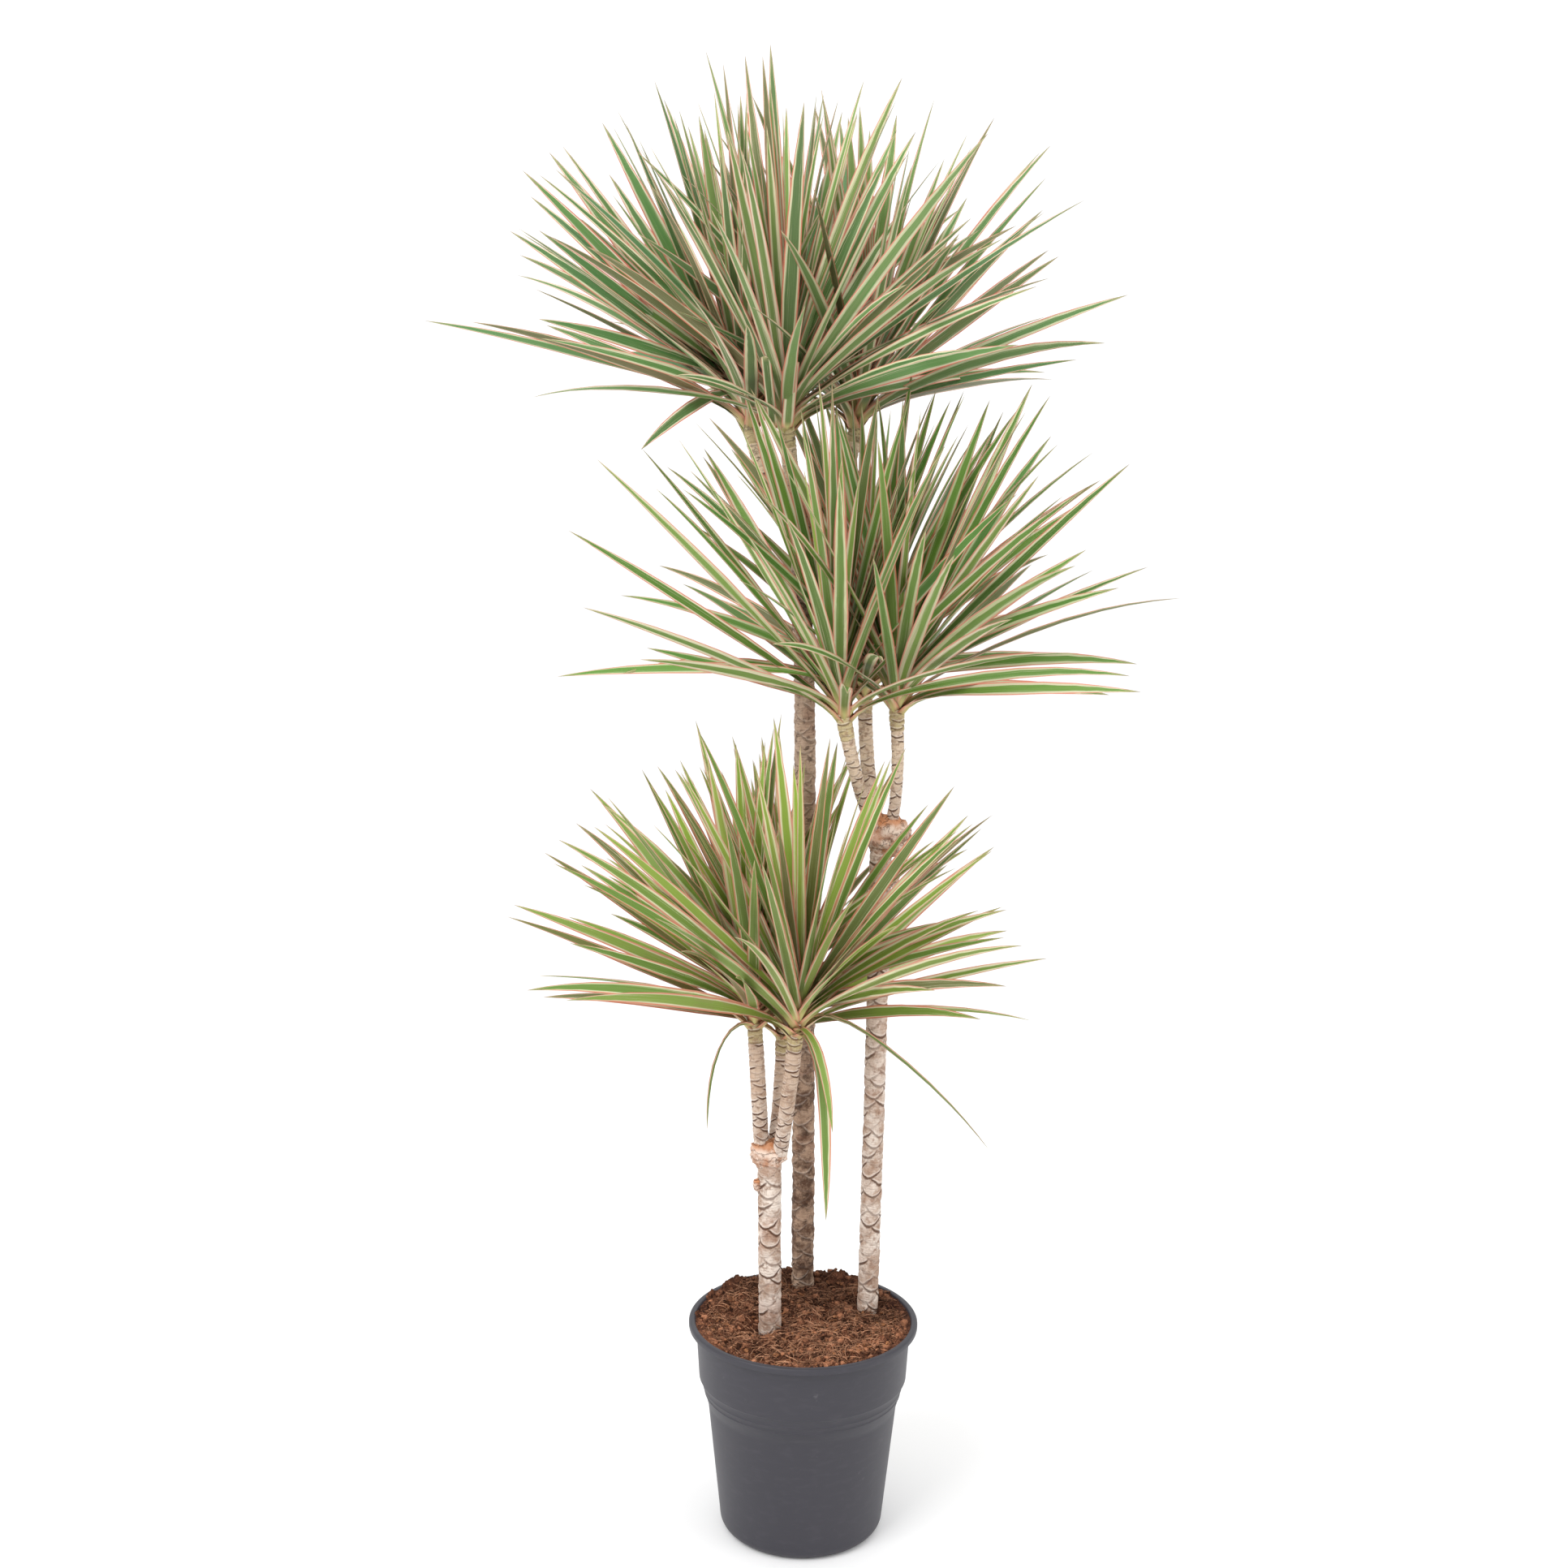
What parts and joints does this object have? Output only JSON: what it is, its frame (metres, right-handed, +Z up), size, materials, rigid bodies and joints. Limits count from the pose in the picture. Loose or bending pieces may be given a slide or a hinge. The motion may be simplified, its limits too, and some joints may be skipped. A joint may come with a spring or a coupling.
{
  "type": "potted dracaena marginata",
  "caption": "Tall house plant in a round nursery pot of soil: slim ringed canes of staggered heights, branching into heads of long, narrow arching leaves.",
  "frame": {"origin": "Middle of the pot's foot, on the surface that the pot stands on.", "axes": "+Z up, -Y towards the viewer's side of the plant, +X to the viewer's right."},
  "size_m": [0.7197, 0.7136, 1.5],
  "materials": {
    "pot_plastic": "satin charcoal injection-moulded plastic",
    "soil": "loose brown coir and peat with fibres and chips",
    "brown_bark": "rough brown-grey bark with ring scars",
    "pale_bark": "pale grey-beige bark with dark crescent leaf scars",
    "leaf": "smooth satin leaf, green with cream stripes and thin pink-red margins"
  },
  "bodies": {
    "root": {"pot": "pot_plastic", "soil": "soil", "cane_tall": "brown_bark", "cane_mid": "pale_bark", "cane_short": "pale_bark", "head_tall_left": "leaf", "head_tall_front": "leaf", "head_tall_right": "leaf", "head_mid_left": "leaf", "head_mid_back": "leaf", "head_mid_right": "leaf", "head_short_left": "leaf", "head_short_right": "leaf", "head_short_back": "leaf"}
  },
  "joints": []
}
